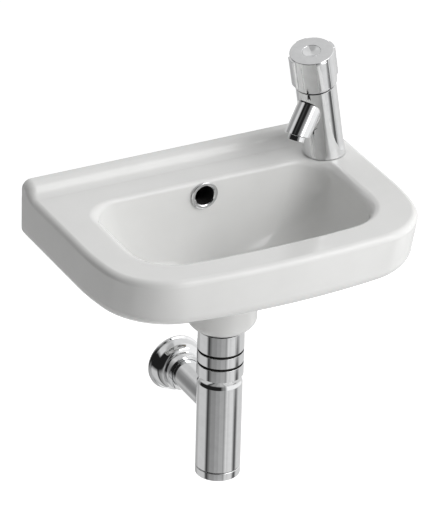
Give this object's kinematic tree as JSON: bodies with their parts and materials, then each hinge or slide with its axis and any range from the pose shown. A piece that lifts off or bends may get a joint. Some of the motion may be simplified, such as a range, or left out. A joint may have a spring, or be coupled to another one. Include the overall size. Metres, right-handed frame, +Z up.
{
  "type": "hand basin",
  "caption": "Small wall-hung hand basin with a leaning pillar tap, a push-open waste with overflow and a chromed bottle trap with its wall outlet.",
  "frame": {"origin": "middle of the two wall bolts, on the wall face", "axes": "+X right along the wall, +Y into the wall, +Z up"},
  "size_m": [0.36, 0.266, 0.4544],
  "materials": {
    "china": "glossy white glaze",
    "chrome": "polished chrome plating",
    "brass": "turned brass",
    "steel": "plain stainless steel",
    "rubber": "matt black rubber",
    "valve_ceramic": "lapped ceramic",
    "aerator_plastic": "moulded plastic"
  },
  "bodies": {
    "root": {"basin_body": "china", "overflow_ring": "chrome", "waste_body": "chrome", "waste_seat_seal": "rubber", "waste_under_seal": "rubber", "waste_backnut": "chrome", "click_barrel": "brass", "click_spring": "steel", "tap_body": "chrome", "tap_base_seal": "rubber", "tap_tail": "brass", "tap_rubber_washer": "rubber", "tap_metal_washer": "steel", "tap_backnut": "brass", "headwork": "brass", "headwork_seal": "rubber", "fixed_disc": "valve_ceramic", "aerator_housing": "chrome", "aerator_insert": "aerator_plastic", "aerator_seal": "rubber", "union_nut": "chrome", "inlet_seal": "rubber", "dip_tube": "chrome", "slip_seal": "rubber", "body_nut": "chrome", "trap_body": "chrome", "bottom_seal": "rubber", "bottom_cap": "chrome", "outlet_pipe": "chrome", "wall_rosette": "chrome"},
    "tap_handle": {"handle": "chrome", "handle_screw": "steel", "index_cap": "chrome", "spindle": "brass", "turning_disc": "valve_ceramic"},
    "plug": {"plug_cap": "chrome", "plug_seal": "rubber", "plug_stem": "brass"}
  },
  "joints": [
    {"name": "handle_turn", "type": "hinge", "parent": "root", "child": "tap_handle", "pos_m": [0.144, -0.0495, 0.075], "axis": [-0.2124, -0.1158, 0.9703], "range_deg": [0, 90]},
    {"name": "plug_slide", "type": "slide", "parent": "root", "child": "plug", "axis": [0, 0, 1], "range_m": [0, 0.008], "deforming": ["click_spring"]}
  ]
}
